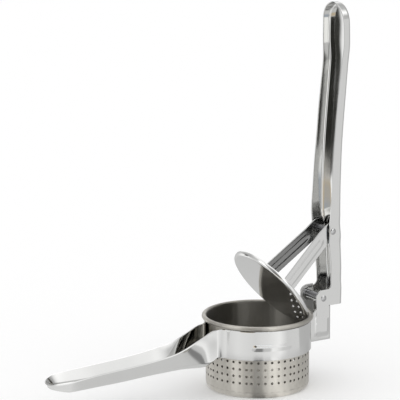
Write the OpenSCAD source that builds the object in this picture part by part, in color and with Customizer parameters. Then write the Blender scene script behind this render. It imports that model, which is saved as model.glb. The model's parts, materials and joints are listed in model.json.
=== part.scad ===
// Lever press for boiled potatoes, all of sheet steel: a perforated basket drops into a
// stamped frame, and a lever drives a disc down into it. Shown open, as it stands on a table.
// Origin: centre of the basket's base. +X runs to the hinge, -X along the lower handle, +Z up.

/* [Basket] */
// Outer radius of the basket's wall
basket_r = 42.5; // [38:0.5:48]
// Height of the basket over the rolled rim
basket_h = 61; // [54:1:70]
// Sheet of the basket
basket_wall = 0.5; // [0.4:0.1:0.8]
// Outer radius of the round corner at the base
basket_corner = 4; // [2:0.5:8]
// Radius of the rolled rim's bead
rim_bead = 2; // [1.4:0.1:2.4]
// Diameter of each press hole
hole_d = 2.2; // [1.4:0.1:2.6]
// Groups of hole columns round the wall
hole_groups = 7; // [5:1:8]
// Columns of holes in a group
group_cols = 7; // [3:1:7]
// Rows of holes in the wall
hole_rows = 4; // [2:1:5]
// Height of the lowest row of holes
row_low = 12.4; // [10:0.2:16]
// Height from one row to the next
row_step = 5.8; // [4:0.2:6.4]
// Rings of holes in the base
base_rings = 5; // [3:1:5]
// Radius from one ring of base holes to the next
ring_step = 6.4; // [5:0.2:7]

/* [Frame] */
// Sheet of the frame
frame_t = 1.2; // [1:0.1:1.6]
// Free play between the basket and the collar
basket_play = 0.3; // [0.2:0.05:0.6]
// Gap between the collar's upper edge and the rolled rim
rim_gap = 0.2; // [0.1:0.05:0.4]
// Height of the collar's lower edge
collar_low = 32.3; // [30:0.5:38]
// Half width over the hinge arms
arm_half = 12.2; // [11.8:0.1:14]
// Distance from the hinge pin to the back of the frame
back_reach = 7.9; // [7:0.1:9]
// Half width of the lower handle where it leaves the collar
throat_half = 11.8; // [10:0.2:14]
// Radius of the bends between the handle and the collar
throat_bend = 8; // [4:0.5:10]
// Distance from the hinge pin to the front edge of the lugs
lug_front = 7; // [6.4:0.1:8]
// Height of the lugs over the hinge pin
lug_rise = 7.2; // [6.6:0.1:8]
// Radius of the lugs' upper front corner
lug_r = 6.6; // [4:0.2:6.8]
// Radius of the bends at the back of the frame
back_bend = 2.5; // [1.6:0.1:4]
// Height by which the stamped ribs and panels stand out
stamp_out = 0.8; // [0.4:0.1:1]
// Width of the stamped rib on each side of the collar
rib_w = 5.4; // [3:0.2:6]
// Half angle that the collar's rib spans, without its round ends
rib_turn = 18.5; // [8:0.5:24]

/* [Lower handle] */
// Distance from the basket's middle to the handle's tip
handle_reach = 201.5; // [170:1:230]
// Half width of the grip
grip_half = 14.6; // [12:0.2:17]
// Height of the handle's web over the table
handle_low = 25.2; // [20:0.2:30]
// Height of the grip's channel
grip_deep = 9.5; // [7:0.5:14]
// Length of the rounded tip
tip_len = 17; // [12:0.5:24]

/* [Hinge] */
// Distance from the basket's wall to the hinge pin
hinge_out = 15.1; // [13.6:0.1:17]
// Height of the hinge pin over the collar's upper edge
hinge_rise = 10.8; // [10:0.1:12]
// Diameter of both rivets' shanks
rivet_d = 4; // [3.4:0.1:4.6]
// Radius of a rivet's head
head_r = 2.7; // [2.5:0.1:3.4]
// Height of a rivet's head
head_h = 1.1; // [0.8:0.1:1.6]
// Radial play of a turning bore on its rivet
bore_play = 0.06; // [0.03:0.01:0.09]
// Side play between turning faces
side_play = 0.15; // [0.1:0.05:0.3]
// Diameter of the spacer tubes on the rivets
spacer_d = 6; // [5.4:0.1:7]

/* [Lever] */
// Sheet of the lever
lever_t = 1.2; // [1:0.1:1.4]
// Length of the lever above the hinge pin
lever_len = 245; // [220:1:270]
// Radius of the ears round the hinge pin
ear_r = 5.8; // [5:0.1:6.2]
// Height of the lever's open heel under the pin
heel_drop = 7.1; // [6.4:0.1:7.6]
// Gap between the lever's heel and the frame's stop
stop_gap = 0.2; // [0.1:0.05:0.4]
// Half width at the presser's rivet
knee_half = 13.3; // [12.6:0.1:14]
// Half width of the lever's grip
lever_grip_half = 15.3; // [14:0.1:17]
// Radius of the long bends between the web and the flanges
lever_bend = 3; // [1.6:0.1:4]

/* [Presser] */
// Distance from the basket's middle to the presser's rivet when the lever is level
press_over = 1.7; // [1:0.1:2.6]
// Offset of the presser's rivet behind the hinge pin
press_back = 8.2; // [8:0.1:8.6]
// Gap that the disc leaves to the basket's mouth while the press stands open
rest_play = 0.85; // [0.6:0.05:2]
// Height of the pressing face over the table when the lever is level
disc_low = 6.5; // [5.6:0.1:8]
// Gap between the disc and the basket's wall when the lever is level
disc_play = 3; // [2.8:0.1:6]
// Height of the disc's turned-up edge
disc_edge = 3.6; // [3:0.2:4.4]
// Sheet of the disc
disc_t = 1; // [0.8:0.1:1.4]
// Radius of the disc's round corner
disc_corner = 2.4; // [1.8:0.1:3.4]
// Thickness of the stirrup's strip
strap_t = 1.5; // [1.2:0.1:2]
// Width of the stirrup's strip
strap_w = 13; // [11:0.5:14]
// Half distance over the legs at the rivet
strap_top = 10.4; // [9.6:0.1:11.2]
// Half distance over the legs at the disc
strap_foot = 19.6; // [16:0.2:24]
// Length of the straight top of each leg below the rivet
strap_neck = 9; // [7.5:0.5:12]
// Width of the bead along each leg
bead_w = 6; // [3:0.5:7]

/* [Hidden] */

FINE = 96;
EPS = 0.01;
CUT = 1;
END_STEP = 0.05;
lug_slant = 2.8;
root_in = 2.5;
panel_r = 2.4;
panel_front = 1;
panel_back = 1.6;
panel_foot = 5.7;
panel_head = 4.4;
rib_up = 10.7;
rib_at = 107.7;
bead_top = 3.4;
bead_foot = 9;
CHORDS = 4;
THROAT_CHORDS = 10;
TIP_STEPS = 7;
TIP_TURN = 12.5;
hole_turn = -107.75;
group_step = 360 / hole_groups;
col_step = group_step * 0.149;
collar_r = basket_r + basket_play + frame_t;
rim_low = basket_h - 2 * rim_bead;
collar_top = rim_low - rim_gap;
rib_z = collar_low + rib_up;
bore = basket_r - basket_wall;
hinge_x = basket_r + hinge_out;
hinge_z = collar_top + hinge_rise;
back_x = hinge_x + back_reach;
lug_x = hinge_x - lug_front;
lug_flat = back_x - back_bend;
lug_top = hinge_z + lug_rise;
stop_z = hinge_z - heel_drop - stop_gap;
throat_x = -sqrt(pow(collar_r + throat_bend, 2) - pow(throat_half + throat_bend, 2));
ear_half = arm_half - frame_t - side_play;
rivet_r = rivet_d / 2;
bore_r = rivet_r + bore_play;
press_up = hinge_x - press_over;
press_x = hinge_x + press_back;
press_z = hinge_z + press_up;
press_len = hinge_z + press_back - disc_low;
disc_r = bore - disc_play;

// Distance from the basket's axis to the disc's edge, level with the mouth, at a tilt of the presser
function edge_reach(tilt) =
    let (down = press_len - disc_edge,
         along = (press_z - down * cos(tilt) - rim_low - rim_bead) / sin(tilt),
         x = press_x - down * sin(tilt) + along * cos(tilt))
    sqrt(x * x + disc_r * disc_r - along * along);

// Tilt at which the hanging presser leaves its gap to the mouth, between two trial tilts
function tilt_between(low, high, tries = 16) =
    let (mid = (low + high) / 2)
    tries == 0 ? mid
    : edge_reach(mid) > bore - rest_play ? tilt_between(mid, high, tries - 1)
    : tilt_between(low, mid, tries - 1);
press_tilt = round(10 * tilt_between(35, 80)) / 10;

// A smooth curve through chosen points: [place, value] pairs in rising order
function span_at(p, x, i = 0) = (i >= len(p) - 2 || x <= p[i + 1][0]) ? i : span_at(p, x, i + 1);
function secant(p, i) = (p[i + 1][1] - p[i][1]) / (p[i + 1][0] - p[i][0]);
function slope_at(p, i) =
    i == 0 ? secant(p, 0)
    : i == len(p) - 1 ? secant(p, len(p) - 2)
    : (secant(p, i - 1) * secant(p, i) <= 0 ? 0 : (secant(p, i - 1) + secant(p, i)) / 2);
function curve(p, x) =
    let (i = span_at(p, x), h = p[i + 1][0] - p[i][0], u = min(1, max(0, (x - p[i][0]) / h)))
    p[i][1] * (2 * u * u * u - 3 * u * u + 1) + slope_at(p, i) * h * (u * u * u - 2 * u * u + u)
    + p[i + 1][1] * (3 * u * u - 2 * u * u * u) + slope_at(p, i + 1) * h * (u * u * u - u * u);

// Cross-section of a filled channel: side, round corner, web, round corner, side
function section(half, open, web, r) =
    let (s = web > open ? 1 : -1)
    concat([[-half, open]],
           [for (k = [0 : CHORDS]) let (a = 90 * k / CHORDS)
               [-half + r * (1 - cos(a)), web - s * r * (1 - sin(a))]],
           [for (k = [CHORDS : -1 : 0]) let (a = 90 * k / CHORDS)
               [half - r * (1 - cos(a)), web - s * r * (1 - sin(a))]],
           [[half, open]]);

// Skin over equal rings of points
module loft(rings) {
    n = len(rings[0]);
    m = len(rings);
    polyhedron(
        points = [for (ring = rings) each ring],
        faces = concat(
            [[for (k = [0 : n - 1]) k]],
            [for (i = [0 : m - 2], k = [0 : n - 1])
                let (a = i * n + k, b = i * n + (k + 1) % n) each [[a, a + n, b], [b, a + n, b + n]]],
            [[for (k = [n - 1 : -1 : 0]) (m - 1) * n + k]]));
}

module basket_shape() {
    floor_r = basket_r - basket_corner;
    rotate_extrude($fn = FINE) {
        difference() {
            union() {
                square([floor_r, basket_wall]);
                translate([basket_r - basket_wall, basket_corner])
                    square([basket_wall, rim_low + rim_bead - basket_corner]);
                intersection() {
                    translate([floor_r, basket_corner]) difference() {
                        circle(r = basket_corner, $fn = FINE);
                        circle(r = basket_corner - basket_wall, $fn = FINE);
                    }
                    translate([floor_r, 0]) square(basket_corner);
                }
                translate([basket_r - basket_wall + rim_bead, rim_low + rim_bead])
                    circle(r = rim_bead, $fn = FINE);
            }
            translate([basket_r - basket_wall + rim_bead, rim_low + rim_bead])
                circle(r = rim_bead - basket_wall, $fn = FINE);
        }
    }
}

module wall_holes() {
    for (g = [0 : hole_groups - 1], c = [0 : group_cols - 1], row = [0 : hole_rows - 1])
        rotate(hole_turn + g * group_step + (c - (group_cols - 1) / 2) * col_step)
            translate([basket_r - basket_wall - CUT, 0, row_low + row * row_step])
                rotate([0, 90, 0]) cylinder(d = hole_d, h = basket_wall + 2 * CUT, $fn = 24);
}

module base_holes() {
    for (ring = [1 : base_rings], k = [0 : 6 * ring - 1])
        rotate(k * 60 / ring) translate([ring * ring_step, 0, -CUT])
            cylinder(d = hole_d, h = basket_wall + 2 * CUT, $fn = 24);
}

module basket() {
    color("silver") difference() {
        basket_shape();
        wall_holes();
        base_holes();
    }
}

// Bend between the handle and the collar seen from above, drawn in by the given distance.
// Its last point lies a little inside the collar, so that the two outlines cross cleanly.
function throat_arc(inset) =
    let (mid = [throat_x, throat_half + throat_bend], last = atan2(-mid[1], -mid[0]))
    concat([for (k = [0 : THROAT_CHORDS - 1])
                let (a = -90 + (last + 90) * k / THROAT_CHORDS)
                mid + (throat_bend + inset) * [cos(a), sin(a)]],
           [mid * (collar_r - inset - CUT) / norm(mid)]);
function flipped(p) = [for (k = [len(p) - 1 : -1 : 0]) [p[k][0], -p[k][1]]];

// Outline of the frame seen from above, drawn in by the given distance
module plan(inset) {
    half = throat_half - inset;
    arm = arm_half - inset;
    corner = back_bend - inset;
    circle(r = collar_r - inset, $fn = 2 * FINE);
    polygon(concat([[throat_x - CUT / 2, -half], [throat_x - CUT / 2, half]], throat_arc(inset), [[0, 0]],
                   flipped(throat_arc(inset))));
    translate([0, -arm]) square([back_x - back_bend, 2 * arm]);
    translate([hinge_x, -arm + corner]) square([back_x - inset - hinge_x, 2 * (arm - corner)]);
    for (side = [-1, 1])
        translate([back_x - back_bend, side * (arm - corner)]) circle(r = corner, $fn = FINE);
}

// Stamped rib on each side of the collar, or the hollow behind it, moved in by the given distance.
// Its round ends are a hair smaller, so that they don't just touch the rib's flat ends.
module collar_ribs(inset) {
    round_r = (rib_w * rib_w / 4 + stamp_out * stamp_out) / (2 * stamp_out);
    ring_r = collar_r + stamp_out - round_r - inset;
    for (side = [-1, 1])
        translate([0, 0, rib_z]) rotate(side * rib_at) {
            rotate(-rib_turn) rotate_extrude(angle = 2 * rib_turn, $fn = 2 * FINE)
                translate([ring_r, 0]) circle(r = round_r, $fn = FINE);
            for (end = [-1, 1])
                rotate(end * rib_turn) translate([ring_r, 0]) sphere(r = round_r - END_STEP, $fn = FINE);
        }
}

// Oblong stamped panel on each arm, or the hollow behind it, moved in by the given distance
module arm_panels(inset) {
    for (side = [-1, 1])
        translate([0, side * (arm_half - inset - frame_t / 2 + stamp_out / 2), 0])
            rotate([90, 0, 0]) linear_extrude(frame_t + stamp_out, center = true) panel_outline(inset);
}

// Outline of an arm's panel seen from the side
module panel_outline(inset) {
    r = panel_r - inset;
    left = lug_x - panel_front;
    right = lug_flat - panel_back;
    low = collar_low + panel_foot;
    high = collar_top - panel_head;
    translate([left + inset, low + panel_r]) square([right - left - 2 * inset, high - low - 2 * panel_r]);
    translate([left + panel_r, low + inset]) square([right - left - 2 * panel_r, high - low - 2 * inset]);
    for (x = [left + panel_r, right - panel_r], z = [low + panel_r, high - panel_r])
        translate([x, z]) circle(r = r, $fn = FINE);
}

// Outline of the frame seen from the side
module flank() {
    translate([throat_x - CUT, collar_low]) square([back_x - throat_x + 2 * CUT, collar_top - collar_low]);
    translate([lug_x, collar_top - CUT]) square([back_x - lug_x + CUT, stop_z - collar_top + CUT]);
    translate([lug_x, stop_z - CUT]) square([lug_flat - lug_x, lug_top - lug_r - stop_z + CUT]);
    translate([lug_x + lug_r, stop_z]) square([lug_flat - lug_x - lug_r, lug_top - stop_z]);
    translate([lug_x + lug_r, lug_top - lug_r]) intersection() {
        circle(r = lug_r, $fn = FINE);
        translate([-lug_r, -CUT]) square([lug_r + EPS, lug_r + 2 * CUT]);
    }
    polygon([[lug_x - lug_slant, collar_top - EPS], [lug_x + CUT, collar_top - EPS],
             [lug_x + CUT, collar_top + lug_slant], [lug_x, collar_top + lug_slant]]);
}

module band() {
    intersection() {
        translate([0, 0, collar_low - CUT]) linear_extrude(lug_top - collar_low + 2 * CUT) difference() {
            plan(0);
            plan(frame_t);
        }
        rotate([90, 0, 0]) linear_extrude(4 * basket_r, center = true) flank();
    }
}

// Lower handle: distances from the basket's axis along -X, each with the half width, the open
// edge, the web or the bend there. The neck keeps its distance to the throat, the grip to the tip.
throat = -throat_x;
root_x = basket_r - root_in;
tip_x = handle_reach - tip_len;
grip_top = handle_low + grip_deep;
neck_fall = collar_top - grip_top;
handle_half_at = [[root_x, throat_half], [throat + 1, throat_half], [throat + 24, throat_half + 0.2],
                  [throat + 47, grip_half - 0.4], [tip_x - 34, grip_half - 0.6],
                  [tip_x, grip_half + 0.4], [handle_reach, grip_half]];
handle_top_at = [[root_x, collar_top - 0.4], [throat, collar_top - 0.4],
                 [throat + 14, collar_top - 0.27 * neck_fall], [throat + 30, collar_top - 0.57 * neck_fall],
                 [throat + 44, collar_top - 0.705 * neck_fall], [tip_x, grip_top - 0.6],
                 [handle_reach, grip_top - 1.6]];
handle_web_at = [[root_x, handle_low + 1], [throat + 52, handle_low + 1.2], [tip_x - 34, handle_low],
                 [handle_reach, handle_low]];
handle_bend_at = [[root_x, 9], [throat + 2, 8], [throat + 16, 4], [throat + 52, 3.4], [handle_reach, 4]];
neck_steps = [0, 1, 5, 9.5, 14, 19, 24, 30, 37, 44, 54];
grip_rings = 6;
handle_rings = concat([for (d = neck_steps) throat + d],
                      [for (k = [1 : grip_rings])
                          throat + 54 + (tip_x - throat - 54) * k / (grip_rings + 1)]);

// One ring of the handle's channel. Inside the throat it stays under the collar.
function handle_ring(x, squeeze, inset, low = false) =
    let (half = (curve(handle_half_at, x) - inset) * squeeze,
         top = low ? collar_low + CUT : curve(handle_top_at, x),
         web = curve(handle_web_at, x),
         rise = (top - web) * 0.7 * (1 - squeeze),
         bend = max(0.2, min(curve(handle_bend_at, x) - inset, half - 0.2, top - web - rise - 1)))
    [for (q = section(half, top + (inset > 0 ? CUT : 0), web + inset + rise, bend)) [-x, -q[0], q[1]]];

module handle_fill(inset) {
    loft(concat(
        [for (x = [root_x - (inset > 0 ? CUT : 0), throat - 2 * EPS]) handle_ring(x, 1, inset, low = true)],
        [for (x = handle_rings) handle_ring(x, 1, inset)],
        [for (k = [0 : TIP_STEPS])
            handle_ring(tip_x + (tip_len - inset) * sin(TIP_TURN * k), cos(TIP_TURN * k), inset)]));
}

// Lower handle, which reaches in under the collar up to the basket's wall
module handle() {
    difference() {
        handle_fill(0);
        handle_fill(frame_t);
        cylinder(r = basket_r + 2 * basket_play, h = collar_top, $fn = FINE);
    }
}

module frame() {
    color("gainsboro") difference() {
        union() {
            band();
            handle();
            difference() {
                collar_ribs(0);
                translate([0, 0, collar_low]) cylinder(r = collar_r - frame_t / 2, h = rim_low, $fn = FINE);
            }
            arm_panels(0);
        }
        collar_ribs(frame_t);
        arm_panels(frame_t);
        translate([hinge_x, 0, hinge_z]) rotate([90, 0, 0])
            cylinder(r = rivet_r, h = 4 * arm_half, center = true, $fn = FINE);
    }
}

// Lever: heights over the hinge pin, each with the web, the open edge or the half width there.
// Above the presser's rivet the heights are shares of the blade, which ends at the tip.
function blade(share) = press_up + share * (lever_len - press_up);
knee_low = press_up - head_r - 1;
knee_high = press_up + head_r + 1;
lever_web_at = [[-heel_drop, 20], [9, 20.3], [30, 19.7], [knee_low - 2, 18.2], [blade(0.064), 16.5],
                [blade(0.17), 16.4], [blade(0.297), 17.4], [blade(0.471), 19.6], [blade(0.646), 22.4],
                [blade(0.762), 24], [blade(0.878), 24.1], [blade(0.947), 22.8], [lever_len, 20]];
lever_open_at = [[-heel_drop, 6.2], [4, 8.6], [22, 8.4], [34, 7.3], [knee_low - 2, 5.1], [blade(0.053), 5.1],
                 [blade(0.159), 6.3], [blade(0.297), 7.8], [blade(0.424), 10], [blade(0.519), 11.7],
                 [blade(0.646), 14.8], [blade(0.709), 16.6], [blade(0.794), 18.2], [blade(0.873), 18.4],
                 [lever_len, 16.4]];
lever_half_at = [[-heel_drop, ear_half], [11, ear_half], [22, 11.4], [44, 12.1], [knee_low, knee_half],
                 [knee_high, knee_half], [blade(0.075), 14.4], [blade(0.18), 14.3], [blade(0.392), 13.8],
                 [blade(0.72), 13.5], [blade(0.831), lever_grip_half], [blade(0.873), lever_grip_half - 0.2],
                 [lever_len, 14]];
lever_rings = concat([-heel_drop, 0, ear_r, 11, 16.5, 22, 29, 36, 44, knee_low, knee_high],
                     [for (share = [0.048, 0.075, 0.128, 0.18, 0.25, 0.318, 0.392, 0.46, 0.519, 0.582, 0.646,
                                    0.688, 0.72, 0.757, 0.794, 0.831, 0.873]) blade(share)]);
lever_tip = 15.5;

function lever_ring(z, squeeze, inset) =
    let (half = (curve(lever_half_at, z) - inset) * squeeze,
         open = curve(lever_open_at, z),
         web = curve(lever_web_at, z),
         dip = (web - open) * 0.7 * (1 - squeeze),
         bend = max(0.2, min(lever_bend - inset, half - 0.2, web - open - dip - 1)))
    [for (q = section(half, open - (inset > 0 ? CUT : 0), web - inset - dip, bend))
        [hinge_x + q[1], q[0], hinge_z + z]];

module lever_fill(inset) {
    start = -heel_drop - (inset > 0 ? CUT : 0);
    tip = lever_len - lever_tip;
    loft(concat(
        [lever_ring(start, 1, inset)],
        [for (z = lever_rings) if (z > start && z < tip - 1) lever_ring(z, 1, inset)],
        [lever_ring(tip, 1, inset)],
        [for (k = [1 : TIP_STEPS])
            lever_ring(tip + (lever_tip - inset) * sin(TIP_TURN * k), cos(TIP_TURN * k), inset)]));
}

// One ear seen from the side, round the pin, with a hollow bend from its top into the flange
module ear_outline() {
    ear_back = 13;
    heel_front = 9;
    translate([hinge_x, hinge_z]) {
        circle(r = ear_r, $fn = FINE);
        polygon([[0, ear_r], [4, ear_r], [8, ear_r + 1.6], [9.6, ear_r + 6.2], [ear_back, ear_r + 6.2],
                 [ear_back, -heel_drop], [heel_front, -heel_drop], [0, -ear_r]]);
    }
}

module lever() {
    color("gainsboro") difference() {
        union() {
            difference() {
                lever_fill(0);
                lever_fill(lever_t);
            }
            for (side = [-1, 1])
                translate([0, side * (ear_half - lever_t / 2) + lever_t / 2, 0]) rotate([90, 0, 0])
                    linear_extrude(lever_t) ear_outline();
        }
        translate([hinge_x, 0, hinge_z]) rotate([90, 0, 0])
            cylinder(r = bore_r, h = 4 * arm_half, center = true, $fn = FINE);
        translate([press_x, 0, press_z]) rotate([90, 0, 0])
            cylinder(r = rivet_r, h = 4 * arm_half, center = true, $fn = FINE);
    }
}

// A rivet across the part, with a domed head against each outer face
module rivet(half) {
    dome_r = (head_r * head_r + head_h * head_h) / (2 * head_h);
    rotate([90, 0, 0]) cylinder(r = rivet_r, h = 2 * half, center = true, $fn = FINE);
    for (side = [-1, 1])
        rotate([-90 * side, 0, 0]) translate([0, 0, half]) intersection() {
            translate([0, 0, head_h - dome_r]) sphere(r = dome_r, $fn = FINE);
            cylinder(r = head_r, h = head_h, $fn = FINE);
        }
}

module spacer(half) {
    rotate([90, 0, 0]) difference() {
        cylinder(d = spacer_d, h = 2 * half, center = true, $fn = FINE);
        cylinder(r = bore_r, h = 2 * half + CUT, center = true, $fn = FINE);
    }
}

module hinge_rivet() {
    color("silver") translate([hinge_x, 0, hinge_z]) rivet(arm_half);
}

module hinge_spacer() {
    color("gray") translate([hinge_x, 0, hinge_z]) spacer(ear_half - lever_t - side_play);
}

module presser_rivet() {
    color("silver") translate([press_x, 0, press_z]) rivet(knee_half);
}

module presser_spacer() {
    color("gray") translate([press_x, 0, press_z]) spacer(strap_top - strap_t - side_play);
}

// Moves from the presser's own axes, with the rivet at the origin and the disc below, to its place
module hang() {
    translate([press_x, 0, press_z]) rotate([0, press_tilt, 0]) children();
}

// Right half of the stirrup's outline seen along its width, from its foot up and down again
function strap_side() =
    let (seat = disc_t - press_len,
         lean = atan2(strap_foot - strap_top, press_len - disc_t - strap_neck),
         inner = strap_foot - strap_t / cos(lean) - strap_t * tan(lean))
    [[strap_foot, seat], [strap_top, -strap_neck], [strap_top, strap_w],
     [strap_top - strap_t, strap_w],
     [strap_top - strap_t, -strap_neck - strap_t * tan(lean / 2)], [inner, seat + strap_t]];

// Bead along each leg, drawn in the plane of its outer side, or the hollow behind it
module leg_beads(inset) {
    lean = atan2(strap_foot - strap_top, press_len - disc_t - strap_neck);
    run = norm([strap_foot - strap_top, press_len - disc_t - strap_neck]) - bead_top - bead_foot;
    half = bead_w / 2 - inset;
    for (side = [-1, 1])
        translate([0, side * strap_top, -strap_neck]) rotate([side * lean, 0, 0])
            translate([0, side * (stamp_out / 2 - strap_t / 2 - inset), -bead_top])
                rotate([90, 0, 0]) linear_extrude(strap_t + stamp_out, center = true) {
                    translate([-half, -run]) square([2 * half, run]);
                    for (z = [0, -run]) translate([0, z]) circle(r = half, $fn = FINE);
                }
}

module stirrup() {
    right = strap_side();
    left = [for (k = [len(right) - 1 : -1 : 0]) [-right[k][0], right[k][1]]];
    color("lightgray") hang() difference() {
        intersection() {
            rotate([90, 0, 90]) linear_extrude(strap_w, center = true) polygon(concat(right, left));
            union() {
                rotate([90, 0, 0]) cylinder(d = strap_w, h = 4 * strap_foot, center = true, $fn = FINE);
                translate([-strap_w, -2 * strap_foot, -press_len]) cube([2 * strap_w, 4 * strap_foot, press_len]);
            }
        }
        rotate([90, 0, 0]) cylinder(r = bore_r, h = 4 * strap_foot, center = true, $fn = FINE);
        leg_beads(strap_t / 2);
    }
    color("lightgray") hang() difference() {
        leg_beads(0);
        leg_beads(strap_t / 2);
    }
}

module press_disc() {
    inner = disc_corner - disc_t;
    color("whitesmoke") hang() translate([0, 0, -press_len]) rotate_extrude($fn = 2 * FINE) {
        square([disc_r - disc_corner, disc_t]);
        translate([disc_r - disc_t, disc_corner]) square([disc_t, disc_edge - disc_corner]);
        translate([disc_r - disc_corner, disc_corner]) intersection() {
            difference() {
                circle(r = disc_corner, $fn = FINE);
                circle(r = inner, $fn = FINE);
            }
            translate([0, -disc_corner]) square(disc_corner);
        }
    }
}

basket();
frame();
hinge_rivet();
hinge_spacer();
lever();
presser_rivet();
presser_spacer();
stirrup();
press_disc();
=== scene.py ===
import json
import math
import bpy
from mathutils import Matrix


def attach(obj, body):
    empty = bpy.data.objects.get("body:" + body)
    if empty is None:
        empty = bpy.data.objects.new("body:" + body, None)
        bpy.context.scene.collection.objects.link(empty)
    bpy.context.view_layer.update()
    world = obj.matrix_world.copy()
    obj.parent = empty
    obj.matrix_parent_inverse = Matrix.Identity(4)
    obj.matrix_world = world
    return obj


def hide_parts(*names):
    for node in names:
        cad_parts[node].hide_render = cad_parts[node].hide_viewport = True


bl_info = {
    "name": "Lever potato press",
    "version": (1, 0, 0),
    "blender": (4, 5, 0),
    "location": "3D View > Sidebar > Press",
    "description": "Makes the sheet steel pieces, rivets and stage of a lever press for boiled potatoes",
    "category": "Object",
}

import bpy
from mathutils import Matrix, Vector

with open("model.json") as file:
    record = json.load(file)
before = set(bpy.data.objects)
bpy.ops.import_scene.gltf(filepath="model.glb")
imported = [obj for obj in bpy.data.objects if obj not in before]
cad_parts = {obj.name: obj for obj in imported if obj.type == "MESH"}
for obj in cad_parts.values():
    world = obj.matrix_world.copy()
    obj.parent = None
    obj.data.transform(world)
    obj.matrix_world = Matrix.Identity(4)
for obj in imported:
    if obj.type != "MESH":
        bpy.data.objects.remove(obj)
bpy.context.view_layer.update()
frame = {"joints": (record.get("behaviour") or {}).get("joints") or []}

MM = 0.001
JOINTS = {joint["name"]: joint for joint in frame["joints"]}


def pivot(joint):
    """Place of a joint's axis in the plane of the lever, in millimetres."""
    x, _, z = JOINTS[joint]["pos_m"]
    return x / MM, z / MM


HINGE_X, HINGE_Z = pivot("lever_hinge")
PRESS_X, PRESS_Z = pivot("presser_hinge")


def length(name, description, default):
    return bpy.props.FloatProperty(
        name=name, description=description, default=default * MM, unit="LENGTH", precision=4
    )


def colour(name, description, default):
    return bpy.props.FloatVectorProperty(
        name=name, description=description, default=default, subtype="COLOR", size=3, min=0, max=1
    )


class PressSheetSizes(bpy.types.PropertyGroup):
    """Sheets and bends of the stamped pieces"""

    frame_sheet: length("Frame sheet", "Thickness of the frame's sheet", 1.2)
    lever_sheet: length("Lever sheet", "Thickness of the lever's sheet", 1.2)
    basket_sheet: length("Basket sheet", "Thickness of the basket's sheet", 0.5)
    disc_sheet: length("Disc sheet", "Thickness of the pressing disc's sheet", 1.0)
    strap_sheet: length("Stirrup strip", "Thickness of the stirrup's strip", 1.5)
    edge_round: length("Cut edges", "Radius left on cut edges by polishing", 0.25)


class PressBasketSizes(bpy.types.PropertyGroup):
    """The perforated basket"""

    radius: length("Outer radius", "Outer radius of the basket's wall", 42.5)
    height: length("Height", "Height over the rolled rim", 61)
    corner: length("Base corner", "Outer radius of the round corner at the base", 4)
    bead: length("Rim bead", "Radius of the rolled rim's bead", 2)
    hole: length("Hole", "Diameter of each press hole", 2.2)
    row_low: length("Lowest row", "Height of the lowest row of holes", 12.4)
    row_step: length("Row step", "Height from one row of holes to the next", 5.8)


class PressFinish(bpy.types.PropertyGroup):
    """Colours of the steel and of the backdrop"""

    polished: colour("Polished steel", "Colour of the polished frame, lever and disc", (0.7, 0.7, 0.69))
    satin: colour("Satin steel", "Colour of the drawn basket", (0.66, 0.635, 0.58))
    backdrop: colour("Backdrop", "Colour of the floor and the backdrop", (1.0, 1.0, 1.0))


def in_mm(group, name):
    """A size from one of the property groups, in millimetres."""
    return getattr(getattr(bpy.context.scene, group), name) / MM


def chosen_colour(name):
    return getattr(bpy.context.scene.press_finish, name)


# Curves and outlines, in millimetres


def curve(points, at):
    """Value at a place of a smooth curve through chosen [place, value] points."""
    last = len(points) - 1
    i = 0
    while i < last - 1 and at > points[i + 1][0]:
        i += 1

    def secant(k):
        return (points[k + 1][1] - points[k][1]) / (points[k + 1][0] - points[k][0])

    def slope(k):
        if k == 0:
            return secant(0)
        if k == last:
            return secant(last - 1)
        if secant(k - 1) * secant(k) <= 0:
            return 0
        return (secant(k - 1) + secant(k)) / 2

    run = points[i + 1][0] - points[i][0]
    u = min(1, max(0, (at - points[i][0]) / run))
    return (
        points[i][1] * (2 * u**3 - 3 * u**2 + 1)
        + slope(i) * run * (u**3 - 2 * u**2 + u)
        + points[i + 1][1] * (3 * u**2 - 2 * u**3)
        + slope(i + 1) * run * (u**3 - u**2)
    )


def span(first, last, count):
    """Evenly spaced values from first to last."""
    return [first + (last - first) * k / (count - 1) for k in range(count)]


def smooth_step(low, high, value):
    u = min(1, max(0, (value - low) / (high - low)))
    return u * u * (3 - 2 * u)


def cosine(degrees):
    return math.cos(math.radians(degrees))


def sine(degrees):
    return math.sin(math.radians(degrees))


def arc(centre, radius, first, last, count):
    """Points along an arc in a plane, with angles in degrees."""
    return [(centre[0] + radius * cosine(a), centre[1] + radius * sine(a)) for a in span(first, last, count)]


# Sheet work


def deselect_all():
    if bpy.context.mode != "OBJECT":
        bpy.ops.object.mode_set(mode="OBJECT")
    bpy.ops.object.select_all(action="DESELECT")


def activate(piece):
    deselect_all()
    piece.select_set(True)
    bpy.context.view_layer.objects.active = piece


def edit(piece, select="SELECT"):
    """Goes into edit mode on a piece, with all of it selected, or none of it."""
    activate(piece)
    bpy.ops.object.mode_set(mode="EDIT")
    bpy.ops.mesh.select_all(action=select)


def leave_edit():
    bpy.ops.object.mode_set(mode="OBJECT")


def merge_points(piece, distance=0.000004):
    edit(piece)
    bpy.ops.mesh.remove_doubles(threshold=distance)
    leave_edit()


def lay_sheet(name, columns):
    """A flat grid whose points are then moved to the given columns of places in millimetres."""
    deselect_all()
    across, up = len(columns), len(columns[0])
    bpy.ops.mesh.primitive_grid_add(x_subdivisions=across - 1, y_subdivisions=up - 1, size=2)
    piece = bpy.context.object
    piece.name = name
    for point in piece.data.vertices:
        i = round((point.co.x + 1) / 2 * (across - 1))
        j = round((point.co.y + 1) / 2 * (up - 1))
        point.co = Vector(columns[i][j]) * MM
    merge_points(piece)
    return piece


def join(pieces, name):
    """Several sheets become one mesh, with the points that they share merged."""
    activate(pieces[0])
    for piece in pieces[1:]:
        piece.select_set(True)
    bpy.ops.object.join()
    pieces[0].name = name
    merge_points(pieces[0])
    return pieces[0]


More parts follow.
